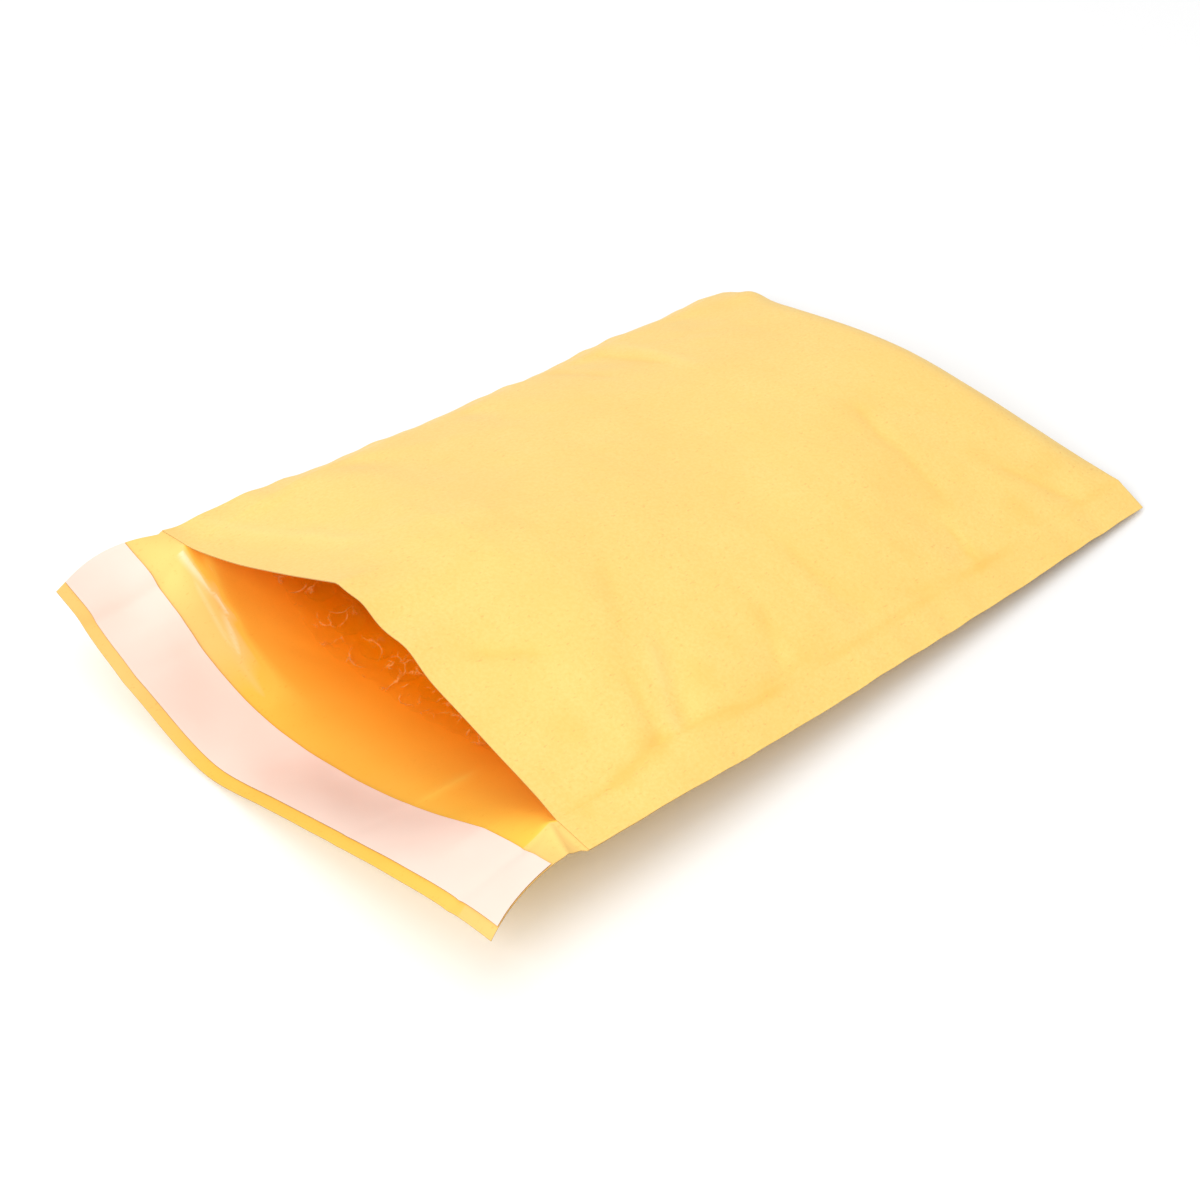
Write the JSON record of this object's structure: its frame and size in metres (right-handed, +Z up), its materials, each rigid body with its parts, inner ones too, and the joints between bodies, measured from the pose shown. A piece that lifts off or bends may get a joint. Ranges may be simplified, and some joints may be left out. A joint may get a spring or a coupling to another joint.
{
  "type": "bubble mailer",
  "caption": "Padded kraft paper mailer lying on its back panel, mouth gaping, bubble lining inside, flap laid open with a release liner over its adhesive.",
  "frame": {"origin": "middle of the whole mailer's box in X and Y, on the surface it rests on", "axes": "+X towards the closed end, -X towards the mouth and flap, +Z up out of the front panel, Y along the width"},
  "size_m": [0.2304, 0.1506, 0.0417],
  "materials": {
    "kraft_paper": null,
    "bubble_film": "clear thin film, tinted by the paper behind it",
    "hot_melt": "tacky clear adhesive",
    "liner_paper": "smooth siliconised paper, pale pink cream"
  },
  "bodies": {
    "root": {"outer_paper_envelope": "kraft_paper", "bubble_lining": "bubble_film", "adhesive_strip": "hot_melt", "release_liner": "liner_paper"}
  },
  "joints": []
}
